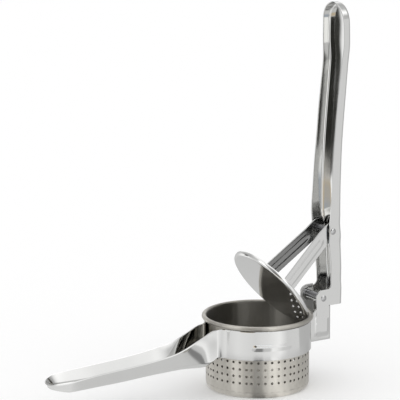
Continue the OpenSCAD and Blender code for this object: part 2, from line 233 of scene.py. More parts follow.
def face_outwards(piece, outward):
    """Turns the sheet over if more of it faces against the given outward direction."""
    facing = sum(face.normal.dot(outward(face.center)) * face.area for face in piece.data.polygons)
    edit(piece)
    if facing < 0:
        bpy.ops.mesh.flip_normals()
    leave_edit()


def add_modifier(piece, kind, **settings):
    activate(piece)
    bpy.ops.object.modifier_add(type=kind)
    modifier = piece.modifiers[-1]
    for key, value in settings.items():
        setattr(modifier, key, value)
    bpy.ops.object.modifier_apply(modifier=modifier.name)


def thicken(piece, thickness, edge_round):
    """Gives an outer skin its sheet thickness inwards, and rounds the cut edges."""
    add_modifier(piece, "SOLIDIFY", thickness=thickness * MM, offset=-1, use_even_offset=True,
                 use_quality_normals=True)
    if edge_round > 0:
        add_modifier(piece, "BEVEL", width=edge_round * MM, segments=2, limit_method="ANGLE",
                     angle_limit=math.radians(60), miter_outer="MITER_SHARP")


def smooth(piece, angle=35):
    activate(piece)
    bpy.ops.object.shade_smooth_by_angle(angle=math.radians(angle))


def pressed(name, skins, thickness, edge_round, outward):
    """Skins that together are the outer side of one piece get their thickness and rounded edges."""
    for skin in skins:
        face_outwards(skin, outward)
    piece = join(skins, name)
    thicken(piece, thickness, edge_round)
    smooth(piece)
    return piece


def turned(name, profile, place, segments=64):
    """A profile of (radius, height) pairs turned once round, then put in place by a function."""
    columns = []
    for k in range(segments + 1):
        a = 2 * math.pi * k / segments
        columns.append([place(r * math.cos(a), r * math.sin(a), h) for r, h in profile])
    return lay_sheet(name, columns)


def close_solid(piece):
    """Merged and turned shapes get their faces pointing outwards again."""
    edit(piece)
    bpy.ops.mesh.normals_make_consistent(inside=False)
    leave_edit()


def finish_piece(piece, material, slot, body, *nodes):
    piece.data.materials.clear()
    piece.data.materials.append(material)
    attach(piece, body)
    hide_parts(*nodes)


# Materials


def add_node(tree, kind, **settings):
    node = tree.nodes.new(kind)
    for key, value in settings.items():
        if key in node.inputs:
            node.inputs[key].default_value = value
        else:
            setattr(node, key, value)
    return node


def fill(tree, sockets, values):
    """Each socket gets a link where its value is a socket too, and else the plain value."""
    for socket, value in zip(sockets, values):
        if isinstance(value, bpy.types.NodeSocket):
            tree.links.new(value, socket)
        else:
            socket.default_value = value


def maths(tree, operation, *values):
    node = add_node(tree, "ShaderNodeMath", operation=operation)
    fill(tree, node.inputs, values)
    return node.outputs["Value"]


def map_range(tree, value, from_min, from_max, to_min=0, to_max=1):
    """A value taken from one range to another, and held at the ends of the new one."""
    node = add_node(tree, "ShaderNodeMapRange")
    fill(tree, node.inputs, (value, from_min, from_max, to_min, to_max))
    return node.outputs["Result"]


def mixed(tree, factor, first, second):
    """Two colours mixed, each of them a socket or a plain colour."""
    node = add_node(tree, "ShaderNodeMix", data_type="RGBA")
    colours = [socket for socket in node.inputs if socket.type == "RGBA"]
    fill(tree, (node.inputs[0], *colours), (factor, first, second))
    return [socket for socket in node.outputs if socket.type == "RGBA"][0]


def scaled(tree, colour, factor):
    """A colour made brighter or darker."""
    node = add_node(tree, "ShaderNodeVectorMath", operation="SCALE")
    fill(tree, (node.inputs[0], node.inputs["Scale"]), (colour, factor))
    return node.outputs["Vector"]


def plain(colour, share=1):
    """A colour as four numbers, and brighter or darker by a share."""
    return [min(1, c * share) for c in colour] + [1]


def noise(tree, place, scale, detail, roughness):
    node = add_node(tree, "ShaderNodeTexNoise", Scale=scale, Detail=detail, Roughness=roughness)
    tree.links.new(place, node.inputs["Vector"])
    return node.outputs["Fac"]


def bumped(tree, height, strength, distance, normal=None):
    node = add_node(tree, "ShaderNodeBump", Strength=strength, Distance=distance)
    tree.links.new(height, node.inputs["Height"])
    if normal:
        tree.links.new(normal, node.inputs["Normal"])
    return node.outputs["Normal"]


def new_material(name, metallic=1):
    """A new material, its tree and shader, and the place on the piece in object coordinates."""
    material = bpy.data.materials.new(name)
    material.use_nodes = True
    tree = material.node_tree
    shader = tree.nodes["Principled BSDF"]
    shader.inputs["Metallic"].default_value = metallic
    return material, tree, shader, add_node(tree, "ShaderNodeTexCoord").outputs["Object"]


INNER_FACING = 0.8


def mark_inner(piece, start_x=-1):
    """Marks the faces beyond a place that look towards the middle plane of the piece, for another finish and
    painted shade.
    """
    mesh = piece.data
    marks = mesh.attributes.new("inner", "FLOAT", "FACE")
    for face, mark in zip(mesh.polygons, marks.data):
        towards = -face.normal.y * (1 if face.center.y > 0 else -1)
        mark.value = 1 if towards > INNER_FACING and face.center.x > start_x else 0


def polished_steel(name, colour, rough_low=0.04, rough_high=0.12, wave=0.00014, inner=None):
    """Mirror-polished sheet: faint waves from the press, and buffing haze that comes and goes.

    The faces marked inner can get painted shade, darker by a share, and be rougher and less of a mirror.
    """
    material, tree, shader, place = new_material(name)
    link = tree.links.new
    haze = noise(tree, place, 28, 5, 0.6)
    waves = noise(tree, place, 45, 1, 0.4)
    fine = noise(tree, place, 900, 3, 0.6)
    roughness = map_range(tree, haze, 0.35, 0.68, rough_low, rough_high)
    tone = mixed(tree, haze, plain(colour, 0.93), plain(colour))
    if inner:
        darker, rougher, matt = inner
        marked = add_node(tree, "ShaderNodeAttribute", attribute_name="inner").outputs["Fac"]
        roughness = maths(tree, "MULTIPLY_ADD", marked, rougher, roughness)
        # Painted shade: the marked faces are darkened by their share
        tone = mixed(tree, maths(tree, "MULTIPLY", marked, darker), tone, plain((0, 0, 0)))
        link(maths(tree, "MULTIPLY_ADD", marked, -matt, 1), shader.inputs["Metallic"])
    link(roughness, shader.inputs["Roughness"])
    link(tone, shader.inputs["Base Color"])
    sheet_waves = bumped(tree, waves, 0.5, wave)
    link(bumped(tree, fine, 0.05, 0.00002, sheet_waves), shader.inputs["Normal"])
    return material


# How much painted shade darkens the basket inside and on its rim, where the inside's painted shade begins,
# in millimetres over the base, and how much finer its turning marks are up the wall than round it
INSIDE_SHADE = 0.55
RIM_SHADE = 0.2
BASE_CLEAR = (4.2, 4.8)
MARKS_RISE = 12


def drawn_steel(name, colour, wall_r, rim_z):
    """Satin sheet of the basket: turning marks round its wall spread the light up and down.

    Inside the wall's outer skin, at less than wall_r from its axis, and over rim_z the sheet gets painted
    shade.
    """
    material, tree, shader, place = new_material(name)
    link = tree.links.new
    shader.inputs["Anisotropic"].default_value = 0.95
    shader.inputs["Anisotropic Rotation"].default_value = 0.25
    tangent = add_node(tree, "ShaderNodeTangent", direction_type="RADIAL", axis="Z")
    split = add_node(tree, "ShaderNodeSeparateXYZ")
    link(place, split.inputs["Vector"])
    x, y, z = (split.outputs[axis] for axis in "XYZ")
    unrolled = add_node(tree, "ShaderNodeCombineXYZ")
    link(maths(tree, "ARCTAN2", y, x), unrolled.inputs["X"])
    link(maths(tree, "MULTIPLY", z, MARKS_RISE), unrolled.inputs["Z"])
    marks = noise(tree, unrolled.outputs["Vector"], 14, 6, 0.6)
    broad = noise(tree, unrolled.outputs["Vector"], 3, 2, 0.5)
    flat = add_node(tree, "ShaderNodeVectorMath", operation="MULTIPLY")
    fill(tree, flat.inputs, (place, (1, 1, 0)))
    radius = add_node(tree, "ShaderNodeVectorMath", operation="LENGTH")
    link(flat.outputs["Vector"], radius.inputs[0])
    # Painted shade inside the wall and on the rim's top
    inside = map_range(tree, radius.outputs["Value"], wall_r - 0.1 * MM, wall_r, INSIDE_SHADE, 0)
    above = map_range(tree, z, *[height * MM for height in BASE_CLEAR])
    rim = map_range(tree, z, rim_z, rim_z + 0.2 * MM, 0, RIM_SHADE)
    shade = maths(tree, "MAXIMUM", maths(tree, "MULTIPLY", inside, above), rim)
    tone = mixed(tree, broad, plain(colour, 0.9), plain(colour, 1.05))
    link(scaled(tree, tone, maths(tree, "SUBTRACT", 1, shade)), shader.inputs["Base Color"])
    link(map_range(tree, marks, 0.35, 0.65, 0.33, 0.46), shader.inputs["Roughness"])
    link(bumped(tree, marks, 0.08, 0.00004), shader.inputs["Normal"])
    link(tangent.outputs["Tangent"], shader.inputs["Tangent"])
    return material


# Sizes of the frame and its handle, in millimetres, with RIB_AT and RIB_TURN in degrees and FLARE as a slope

COLLAR_LOW = 32.3
BASKET_PLAY = 0.3
RIM_GAP = 0.6
PANEL_OUT = 0.6
PANEL_FRONT = (48.9, 49.9)
PANEL_BACK = (61.2, 62.2)
PANEL_FOOT = (37.2, 38.4)
PANEL_HEAD = (52, 53)
RIB_OUT = 0.4
RIB_CREST = 0.3
RIB_AT = 107.7
RIB_TURN = 18.5
RIB_Z = 43
RIB_HALF = 2.7
ARM_HALF = 12.2
BACK_REACH = 7.9
BACK_BEND = 2.5
THROAT_HALF = 11.8
THROAT_BEND = 8
LUG_FRONT = 7
LUG_RISE = 7.2
LUG_R = 6.6
LUG_SLANT = 2.8
HEEL_DROP = 7.1
STOP_GAP = 0.2
HANDLE_REACH = 201.48
GRIP_HALF = 14.6
HANDLE_LOW = 25.2
GRIP_DEEP = 9.5
FLARE = 0.5
FLARE_DROP = 0.9
TIP_LEN = 17
ROOT_X = 43.2
STEP_RUN = 0.08
WEB_UNDER = 34
ARMS_FROM = 40


class PRESS_OT_frame(bpy.types.Operator):
    """Makes the frame: collar, lower handle, hinge arms and back, stamped from one sheet"""

    bl_idname = "press.frame"
    bl_label = "Frame"

    def execute(self, context):
        sheet = in_mm("press_sheets", "frame_sheet")
        basket_r = in_mm("press_basket", "radius")
        rim_low = in_mm("press_basket", "height") - 2 * in_mm("press_basket", "bead")
        collar_r = basket_r + BASKET_PLAY + sheet
        collar_top = rim_low - RIM_GAP
        back_x = HINGE_X + BACK_REACH
        throat = math.sqrt((collar_r + THROAT_BEND) ** 2 - (THROAT_HALF + THROAT_BEND) ** 2)
        stop_z = HINGE_Z - HEEL_DROP - STOP_GAP
        lug_x = HINGE_X - LUG_FRONT
        lug_back = back_x - BACK_BEND
        lug_top = HINGE_Z + LUG_RISE
        tip = HANDLE_REACH - TIP_LEN
        grip_top = HANDLE_LOW + GRIP_DEEP
        half_at = [(40, THROAT_HALF), (throat + 1, THROAT_HALF), (72, THROAT_HALF + 0.2),
                   (95, GRIP_HALF - 0.4), (150, GRIP_HALF - 0.6), (184, GRIP_HALF + 0.4),
                   (HANDLE_REACH, GRIP_HALF)]
        top_at = [(40, collar_top - 0.4), (throat, collar_top - 0.4), (62, 50.8), (78, 44.2), (92, 41.2),
                  (tip, grip_top - 0.6), (HANDLE_REACH - 7, grip_top - 1.9), (HANDLE_REACH, grip_top - 3.4)]
        web_at = [(42, 8.8), (45, 8.2), (throat, 6.6), (52, 3), (57, 0.8), (66, 0.2), (100, 0.6),
                  (150, -FLARE_DROP), (178, -FLARE_DROP), (192, -0.2), (HANDLE_REACH, 1.4)]
        web_at = [(x, HANDLE_LOW + over) for x, over in web_at]
        bend_at = [(40, 0.8), (throat, 0.8), (52, 2.4), (57, 3.8), (66, 4), (100, 3.6), (HANDLE_REACH, 3)]
        wide_at = bend_at[:5] + [(100, 4.4), (HANDLE_REACH, 4.4)]
        flare_at = [(58, 0), (92, FLARE), (165, FLARE), (190, 1.2 * FLARE), (HANDLE_REACH, 1.7 * FLARE)]

        # Stations along the handle: place, half width, and the spine point that its web runs to
        stations = []
        for a in span(0, 90, 17):
            x = tip + TIP_LEN * cosine(a)
            stations.append((x, curve(half_at, x) * sine(a), tip + 1.5))
        for x in span(tip - 2, throat, 48):
            stations.append((x, curve(half_at, x), x))

        def wall_low(x):
            return curve(web_at, x) + curve(bend_at, x)

        def lug_edge(x):
            """Height of the arm's upper edge, with the lug and its round front corner."""
            if x <= lug_x - LUG_SLANT:
                return collar_top
            if x < lug_x:
                return collar_top + x - lug_x + LUG_SLANT
            if x < lug_x + LUG_R:
                return lug_top - LUG_R + math.sqrt(max(0, LUG_R**2 - (lug_x + LUG_R - x) ** 2))
            if x <= lug_back:
                return lug_top
            return stop_z

        def leaning(x, y, spine, height):
            """A place on the handle's wall, which leans in towards the spine below its upper edge."""
            inward = Vector((-spine + x, -y)).normalized()
            share = 0 if x < flare_at[0][0] else curve(flare_at, x)
            return Vector((-x, y)) + inward * share * (curve(top_at, x) - height)

        # The upright sheet, half way round from the handle's tip to the middle of the back
        walls = [((-x, y), wall_low(x), curve(top_at, x)) for x, y, _ in stations]
        mid = (-throat, THROAT_HALF + THROAT_BEND)
        low_start, top_start = wall_low(throat), curve(top_at, throat)
        touch = math.degrees(math.atan2(-mid[1], -mid[0]))
        for k, point in enumerate(arc(mid, THROAT_BEND, -90, touch, 15)[1:]):
            u = smooth_step(0, 10, k + 1)
            walls.append((point, low_start + (COLLAR_LOW - low_start) * u,
                          top_start + (collar_top - top_start) * u))
        first = math.degrees(math.atan2(mid[1], mid[0]))
        last = math.degrees(math.asin(ARM_HALF / collar_r))
        for point in arc((0, 0), collar_r, first, last, 64)[1:]:
            walls.append((point, COLLAR_LOW, collar_top))
        arm_start = collar_r * cosine(last)
        front = lug_x + LUG_R
        places = span(arm_start, lug_x - LUG_SLANT, 5)[1:] + span(lug_x - LUG_SLANT, lug_x - STEP_RUN, 4)[1:]
        places += [lug_x + LUG_R * (1 - cosine(a)) for a in span(0, 90, 12)]
        places += span(front, lug_back, 5)[1:] + [lug_back + STEP_RUN]
        for x in places:
            walls.append(((x, ARM_HALF), COLLAR_LOW, lug_edge(x)))
        for point in arc((back_x - BACK_BEND, ARM_HALF - BACK_BEND), BACK_BEND, 90, 0, 8)[1:]:
            walls.append((point, COLLAR_LOW, stop_z))
        for y in span(ARM_HALF - BACK_BEND, 0, 6)[1:]:
            walls.append(((back_x, y), COLLAR_LOW, stop_z))

        def raised(x, y, z):
            """How far the stamped rib on the collar and the panels on the arms stand out."""
            if x > arm_start + 4 and abs(y) > ARM_HALF - 0.1:
                wide = smooth_step(*PANEL_FRONT, x) * (1 - smooth_step(*PANEL_BACK, x))
                high = smooth_step(*PANEL_FOOT, z) * (1 - smooth_step(*PANEL_HEAD, z))
                return Vector((0, PANEL_OUT * wide * high))
            if -throat * 0.8 < x < arm_start:
                past = abs(math.degrees(math.atan2(y, x)) - RIB_AT) - RIB_TURN
                away = math.hypot(max(0, math.radians(past) * collar_r), z - RIB_Z)
                return Vector((x, y)).normalized() * RIB_OUT * (1 - smooth_step(RIB_CREST, RIB_HALF, away))
            return Vector((0, 0))

        def wall_columns(side):
            columns = []
            for k, ((x, y), low, top) in enumerate(walls):
                column = []
                for z in span(low, top, 30):
                    place = Vector((x, y)) + raised(x, y, z)
                    if k < len(stations):
                        place = leaning(*stations[k], z)
                    column.append((place.x, side * place.y, z))
                columns.append(column)
            return columns

        def floor_columns(side):
            """The round lower corner and the web, from the upright sheet in to the spine."""
            columns = []
            roots = [(x, THROAT_HALF, x) for x in (throat - 1.5, throat - 3.2, ROOT_X)]
            for x, y, spine in stations + roots:
                web, bend, wide = curve(web_at, x), curve(bend_at, x), curve(wide_at, x)
                start = leaning(x, y, spine, web + bend) if x >= throat else Vector((-x, y))
                inward = Vector((-spine, 0)) - start
                far = inward.length
                inward.normalize()
                column = []
                for a in span(0, 90, 10):
                    place = start + inward * wide * (1 - cosine(a))
                    column.append((place.x, side * place.y, web + bend * (1 - sine(a))))
                for u in span(0, 1, 6)[1:]:
                    place = start + inward * (wide + (far - wide) * u)
                    column.append((place.x, side * place.y, web))
                if x < throat - 3.3:
                    column = [(-math.sqrt(ROOT_X**2 - py**2), py, pz) for _, py, pz in column]
                columns.append(column)
            return columns

        skins = [lay_sheet("wall", wall_columns(side)) for side in (-1, 1)]
        skins += [lay_sheet("floor", floor_columns(side)) for side in (-1, 1)]
        piece = pressed("stamped_frame", skins, sheet, in_mm("press_sheets", "edge_round"),
                        lambda c: Vector((0, c.y, -0.02 if c.z < WEB_UNDER * MM else 0)))
        mark_inner(piece, ARMS_FROM * MM)
        steel = polished_steel("polished_frame", chosen_colour("polished"), inner=(0, 0.4, 0.7))
        finish_piece(piece, steel, "polished_steel", "frame", "frame")
        return {"FINISHED"}


# Sizes of the lever, in millimetres from its hinge, with LEVER_LEAN as a slope

LEVER_LEN = 244.98
EAR_R = 5.8
EAR_HALF = 10.85
KNEE_HALF = 13.3
HEAD_R = 2.7
LEVER_GRIP_HALF = 15.3
LEVER_BEND = 3
LEVER_LEAN = 0.08
WEB_HOLLOW = 0.5
HOLLOW_FROM = (95, 135)
LEVER_TIP = 15.5
HEEL_REACH = 9


class PRESS_OT_lever(bpy.types.Operator):
    """Makes the lever: an open channel with ears at its foot and a rounded grip"""

    bl_idname = "press.lever"
    bl_label = "Lever"

    def execute(self, context):
        sheet = in_mm("press_sheets", "lever_sheet")
        knee = PRESS_Z - HINGE_Z
        web_at = [(-HEEL_DROP, 20), (9, 20.3), (30, 19.7), (50, 18.2), (68, 16.5), (88, 16.4), (112, 17.4),
                  (145, 19.6), (178, 22.4), (200, 24), (222, 24.07), (237, 24.07), (LEVER_LEN, 24.07)]
        open_at = [(-HEEL_DROP, 6.2), (4, 8.6), (22, 8.4), (34, 7.3), (50, 5.1), (66, 5.1), (86, 6.3),
                   (112, 7.8), (136, 9.8), (154, 11.2), (178, 13.8), (190, 15.2), (206, 16.5), (221, 16.7),
                   (LEVER_LEN, 15.6)]
        half_at = [(-HEEL_DROP, EAR_HALF), (11, EAR_HALF), (22, 11.4), (44, 12.1),
                   (knee - HEAD_R - 1, KNEE_HALF), (knee + HEAD_R + 1, KNEE_HALF),
                   (70, 14.4), (90, 14.3), (130, 13.8), (192, 13.8), (213, LEVER_GRIP_HALF + 0.3),
                   (221, LEVER_GRIP_HALF + 0.2), (LEVER_LEN, 14.4)]
        tip = LEVER_LEN - LEVER_TIP

        def ear_edge(z):
            """Front edge of the flange: heel, round ear, and the hollow bend up to the channel."""
            if z < -EAR_R:
                return HEEL_REACH * (-EAR_R - z) / (HEEL_DROP - EAR_R)
            if z <= EAR_R:
                return -math.sqrt(max(0, EAR_R**2 - z**2))
            if z < 12:
                return curve([(EAR_R, 4), (7.2, 7.2), (9, 8.5), (12, curve(open_at, 12))], z)
            return curve(open_at, z)

        heights = span(-HEEL_DROP, -EAR_R, 3)[:-1]
        heights += [EAR_R * sine(a) for a in span(-90, 90, 17)]
        heights += [EAR_R + 0.01, 6.2, 6.6, 7.2, 8, 9, 10, 11] + span(12, tip - 2, 76)
        stations = [(z, curve(half_at, z), z) for z in heights]
        for a in span(90, 0, 17):
            z = tip + LEVER_TIP * cosine(a)
            stations.append((z, curve(half_at, z) * sine(a), tip - 1))

        def columns(side):
            made = []
            for z, y, spine in stations:
                web, edge = curve(web_at, z), ear_edge(z)
                inward = Vector((spine - z, -y))
                far = inward.length
                inward.normalize()
                lean = LEVER_LEAN * smooth_step(EAR_R, KNEE_HALF, z)
                hollow = WEB_HOLLOW * smooth_step(*HOLLOW_FROM, z)
                foot = lean * (web - hollow - LEVER_BEND - edge)

                def placed(x, reach):
                    return HINGE_X + x, side * (y + inward.y * reach), HINGE_Z + z + inward.x * reach

                def on_web(reach, above):
                    return placed(curve(web_at, z + inward.x * reach) - above, reach)

                column = [placed(x, lean * (x - edge)) for x in span(edge, web - hollow - LEVER_BEND, 9)]
                for a in span(0, 90, 10)[1:]:
                    reach = foot + LEVER_BEND * (1 - cosine(a))
                    column.append(on_web(reach, hollow + LEVER_BEND * (1 - sine(a))))
                for u in span(0, 1, 9)[1:]:
                    reach = foot + LEVER_BEND + (far - foot - LEVER_BEND) * u
                    column.append(on_web(reach, hollow * (1 - u) ** 2))
                made.append(column)
            return made

        skins = [lay_sheet("half", columns(side)) for side in (-1, 1)]
        piece = pressed("stamped_lever", skins, sheet, in_mm("press_sheets", "edge_round"),
                        lambda c: Vector((0.3, c.y * 100, 0)))
        steel = polished_steel("polished_lever", chosen_colour("polished"))
        finish_piece(piece, steel, "polished_steel", "lever", "lever")
        return {"FINISHED"}


# Holes and heights of the basket, in degrees round it and in millimetres up and across

HOLE_GROUPS = 7
GROUP_COLS = 7
HOLE_ROWS = 4
HOLE_TURN = -107.75
GROUP_STEP = 360 / HOLE_GROUPS
COL_STEP = GROUP_STEP * 0.149
BASE_RINGS = 5
RING_STEP = 6.4
ROUNDED_SHARE = 0.93
HOLE_SIDES = 16
WALL_MIDDLE = 38
BELOW_BEAD = (2.5, 0.6)
BASE_EDGE = 1.5
SKIN_SHARE = 0.8


class PRESS_OT_basket(bpy.types.Operator):
    """Makes the basket: drawn wall with groups of press holes, rolled rim and perforated base"""

    bl_idname = "press.basket"
    bl_label = "Basket"

    def execute(self, context):
        sheet = in_mm("press_sheets", "basket_sheet")
        inner_r = in_mm("press_basket", "radius") - sheet
        corner = in_mm("press_basket", "corner") - sheet
        bead = in_mm("press_basket", "bead")
        hole = in_mm("press_basket", "hole")
        row_low, row_step = in_mm("press_basket", "row_low"), in_mm("press_basket", "row_step")
        bead_z = in_mm("press_basket", "height") - bead

        # Cell edges round the wall and up it, with a hole in the middle of each cell
        cell = (GROUP_STEP - (GROUP_COLS - 1) * COL_STEP) / 2
        cell_half = math.radians(cell) * inner_r
        angles, hole_cols = [], set()
        for g in range(HOLE_GROUPS):
            for c in range(GROUP_COLS):
                a = HOLE_TURN + g * GROUP_STEP + (c - (GROUP_COLS - 1) / 2) * COL_STEP
                angles.append(a - cell)
                hole_cols.add(len(angles) - 1)
                if c < GROUP_COLS - 1:
                    angles.append(a + cell)
        angles.append(HOLE_TURN + 360 - (GROUP_COLS - 1) / 2 * COL_STEP - cell)
        profile = [(inner_r - corner - BASE_EDGE, sheet)]
        profile += arc((inner_r - corner, sheet + corner), corner, -90, 0, 4)
        hole_rows = set()
        for row in range(HOLE_ROWS):
            z = row_low + row * row_step
            hole_rows.add(len(profile))
            profile += [(inner_r, z - cell_half), (inner_r, z + cell_half)]
        profile += [(inner_r, z) for z in (WALL_MIDDLE, *(bead_z - below for below in BELOW_BEAD))]
        profile += arc((inner_r + bead, bead_z), bead, 165, -150, 9)

        columns = [[(r * cosine(a), r * sine(a), z) for r, z in profile] for a in angles]
        cols, rows = len(columns) - 1, len(profile) - 1
        deselect_all()
        bpy.ops.mesh.primitive_grid_add(x_subdivisions=cols, y_subdivisions=rows, size=2)
        piece = context.object
        piece.name = "perforated_basket"
        mesh = piece.data
        cells = []
        for face in mesh.polygons:
            i = int((face.center.x + 1) / 2 * cols)
            j = int((face.center.y + 1) / 2 * rows)
            cells.append(i in hole_cols and j in hole_rows)
        for point in mesh.vertices:
            i = round((point.co.x + 1) / 2 * cols)
            j = round((point.co.y + 1) / 2 * rows)
            point.co = Vector(columns[i][j]) * MM
        edit(piece, "DESELECT")
        bpy.ops.mesh.select_mode(type="FACE")
        leave_edit()
        for face, is_hole in zip(mesh.polygons, cells):
            face.select = is_hole
        bpy.ops.object.mode_set(mode="EDIT")
        square = hole / ROUNDED_SHARE
        bpy.ops.mesh.inset(thickness=(cell_half - square / 2) * MM, use_individual=True, use_even_offset=True)
        bpy.ops.mesh.delete(type="FACE")
        bpy.ops.mesh.select_mode(type="VERT")
        leave_edit()
        merge_points(piece)
        add_modifier(piece, "SUBSURF", levels=2, render_levels=2)

        # The flat base is filled between the wall's lower edge and its own rings of holes
        mesh = piece.data
        floor_z = min(p.co.z for p in mesh.vertices)
        base_r = min(p.co.xy.length for p in mesh.vertices)
        edit(piece, "DESELECT")
        leave_edit()
        for point in mesh.vertices:
            point.select = point.co.xy.length < base_r + 0.1 * MM
        bpy.ops.object.mode_set(mode="EDIT")
        bpy.ops.mesh.select_mode(type="VERT")
        bpy.ops.mesh.hide(unselected=True)
        for ring in range(1, BASE_RINGS + 1):
            for k in range(6 * ring):
                a, r = k * 60 / ring, ring * RING_STEP * MM
                bpy.ops.mesh.primitive_circle_add(vertices=HOLE_SIDES, radius=hole / 2 * MM,
                                                  location=(r * cosine(a), r * sine(a), floor_z))
        bpy.ops.mesh.select_all(action="SELECT")
        bpy.ops.mesh.fill(use_beauty=True)
        bpy.ops.mesh.reveal(select=False)
        bpy.ops.mesh.select_all(action="SELECT")
        bpy.ops.mesh.normals_make_consistent(inside=False)
        leave_edit()
        face_outwards(piece, lambda c: Vector((c.x, c.y, 0)) if 0.005 < c.z < 0.055 else Vector((0, 0, 0)))
        add_modifier(piece, "SOLIDIFY", thickness=sheet * MM, offset=1, use_even_offset=True)
        smooth(piece, 40)
        skin_r = inner_r + sheet * SKIN_SHARE
        steel = drawn_steel("drawn_basket", chosen_colour("satin"), skin_r * MM, (bead_z - bead) * MM)
        finish_piece(piece, steel, "basket_steel", "basket", "basket")
        return {"FINISHED"}


# Sizes of the presser, in millimetres from its rivet, with its tilt in degrees

PRESS_TILT = 51.7
PRESS_LEN = 69.3
DISC_R = 39
DISC_EDGE = 3.6
DISC_CORNER = 2.4
STRAP_W = 13
STRAP_TOP = 10.4
STRAP_FOOT = 19.6
STRAP_NECK = 9
NECK_BEND = 10
FOOT_BEND = 3
DISC_SIDES = 128
PRESSER_EDGE = 0.2
BEAD_OUT = 0.5
BEAD_BELOW = 0.6
BEAD_ABOVE = 6
BEAD_SIDE = (2.0, 3.2)
BEAD_SOFT = 1.2
BEAD_ROUND = 0.4


def hung(x, y, z):
    """From the presser's own axes, with its rivet at the origin and the disc below, to its place."""
    turn = Matrix.Rotation(math.radians(PRESS_TILT), 3, "Y")
    return turn @ Vector((x, y, z)) + Vector((PRESS_X, 0, PRESS_Z))


class PRESS_OT_presser(bpy.types.Operator):
    """Makes the presser: the pressing disc and the stirrup that carries it"""

    bl_idname = "press.presser"
    bl_label = "Presser"

    def execute(self, context):
        self.disc(context)
        self.stirrup(context)
        return {"FINISHED"}

    def disc(self, context):
        sheet = in_mm("press_sheets", "disc_sheet")
        profile = [(r, 0) for r in (0, 12, 24, 32, DISC_R - DISC_CORNER - 0.4)]
        profile += arc((DISC_R - DISC_CORNER, DISC_CORNER), DISC_CORNER, -90, 0, 12)
        profile += [(DISC_R, DISC_EDGE)]
        piece = turned("press_disc_sheet", profile, lambda x, y, h: hung(x, y, h - PRESS_LEN), DISC_SIDES)
        down = hung(0, 0, -1) - hung(0, 0, 0)
        middle = hung(0, 0, -PRESS_LEN) * MM
        face_outwards(piece, lambda c: down + (c - middle) * 5)
        thicken(piece, sheet, PRESSER_EDGE)
        smooth(piece)
        steel = polished_steel("polished_disc", chosen_colour("polished"), 0.02, 0.07, 0.00008)
        finish_piece(piece, steel, "polished_steel", "presser", "press_disc")

    def stirrup(self, context):
        sheet = in_mm("press_sheets", "strap_sheet")
        seat = in_mm("press_sheets", "disc_sheet") - PRESS_LEN
        lean = math.atan2(STRAP_FOOT - STRAP_TOP, -STRAP_NECK - seat)

        def rounded(corner, before, after, radius):
            """Points of a bend that joins two straight runs at a corner."""
            a = (Vector(before) - Vector(corner)).normalized()
            b = (Vector(after) - Vector(corner)).normalized()
            half = a.angle(b) / 2
            reach = radius / math.tan(half)
            centre = Vector(corner) + (a + b).normalized() * radius / math.sin(half)
            start, end = Vector(corner) + a * reach, Vector(corner) + b * reach
            first, turn = start - centre, (start - centre).angle_signed(end - centre)
            made = []
            for u in span(0, 1, 8):
                c, s = math.cos(-turn * u), math.sin(-turn * u)
                made.append(centre + Vector((first.x * c - first.y * s, first.x * s + first.y * c)))
            return made

        # The outer side of one leg, from its rounded end above the rivet down to the middle of the foot
        tail, neck = (STRAP_TOP, STRAP_W / 2), (STRAP_TOP, -STRAP_NECK)
        foot, middle = (STRAP_FOOT, seat), (0, seat)
        half_round = STRAP_W / 2
        line = [Vector((STRAP_TOP, half_round * sine(a))) for a in span(90, 0, 14)]
        neck_bend = rounded(neck, tail, foot, NECK_BEND)
        foot_bend = rounded(foot, neck, middle, FOOT_BEND)
        leg_start = len(line)
        line += [Vector((STRAP_TOP, z)) for z in span(0, neck_bend[0].y, 5)[1:-1]] + neck_bend
        line += [neck_bend[-1].lerp(foot_bend[0], u) for u in span(0, 1, 26)[1:-1]] + foot_bend
        line += [foot_bend[-1].lerp(Vector(middle), u) for u in span(0, 1, 10)[1:]]
        travelled = [0]
        for a, b in zip(line, line[1:]):
            travelled.append(travelled[-1] + (b - a).length)
        bead_start = travelled[leg_start] + STRAP_NECK + BEAD_BELOW
        bead_end = travelled[-1] - STRAP_FOOT - BEAD_ABOVE

        def column(side, k):
            """One row of points across the strip."""
            point = line[k]
            width = half_round
            if point.y > 0:
                width = math.sqrt(max(0, half_round**2 - point.y**2))
            made = []
            for u in span(-1, 1, 25):
                x = u * width
                across = 1 - smooth_step(*BEAD_SIDE, abs(x))
                ends = BEAD_ROUND * x**2
                along = smooth_step(bead_start - BEAD_SOFT, bead_start + BEAD_SOFT, travelled[k] - ends)
                along *= 1 - smooth_step(bead_end - BEAD_SOFT, bead_end + BEAD_SOFT, travelled[k] + ends)
                out = BEAD_OUT * across * along
                made.append(hung(x, side * (point.x + out * math.cos(lean)), point.y + out * math.sin(lean)))
            return made

        skins = [lay_sheet("leg", [column(side, k) for k in range(len(line))]) for side in (-1, 1)]
        down = hung(0, 0, -1) - hung(0, 0, 0)
        piece = pressed("stirrup_strip", skins, sheet, PRESSER_EDGE,
                        lambda c: Vector((0, c.y * 100, 0)) + down)
        mark_inner(piece)
        # The legs' inner faces, between the legs, get painted shade: 0.62 darker
        steel = polished_steel("polished_stirrup", chosen_colour("polished"), 0.1, 0.22,
                               inner=(0.62, 0.05, 0))
        finish_piece(piece, steel, "polished_steel", "presser", "stirrup")


# Sizes of the rivets and their tubes, in millimetres

HEAD_H = 1.1
RIVET_R = 2
SPACER_R = 3
TUBE_EDGE = 0.3
BORE_PLAY = 0.06
SIDE_PLAY = 0.15


